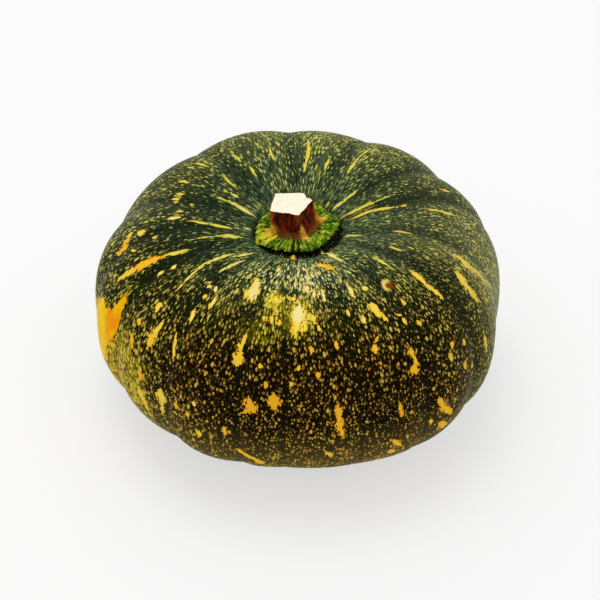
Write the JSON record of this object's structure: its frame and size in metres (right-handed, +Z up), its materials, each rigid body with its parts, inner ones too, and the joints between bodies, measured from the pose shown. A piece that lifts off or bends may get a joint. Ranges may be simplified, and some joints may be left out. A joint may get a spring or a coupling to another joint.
{
  "type": "ribbed green winter squash",
  "caption": "Squat round winter squash with dark green, yellow-speckled ribbed rind and a cut, five-angled stem in its top hollow; stands on its base.",
  "frame": {"origin": "on the surface that the squash stands on, under the fruit's axis", "axes": "+Z up along the fruit's axis, from the blossom end to the stem; -Y is the front and +X the right side"},
  "size_m": [0.1967, 0.1966, 0.105],
  "materials": {
    "rind": "hard, waxy dark green skin with fine tan speckles and yellow streaks along the ribs, semi-matt",
    "cork": "dry cork, red-brown on the stub's sides, cream where it is cut, green and yellow on the knobbly foot"
  },
  "bodies": {
    "root": {"fruit": "rind", "stem": "cork"}
  },
  "joints": []
}
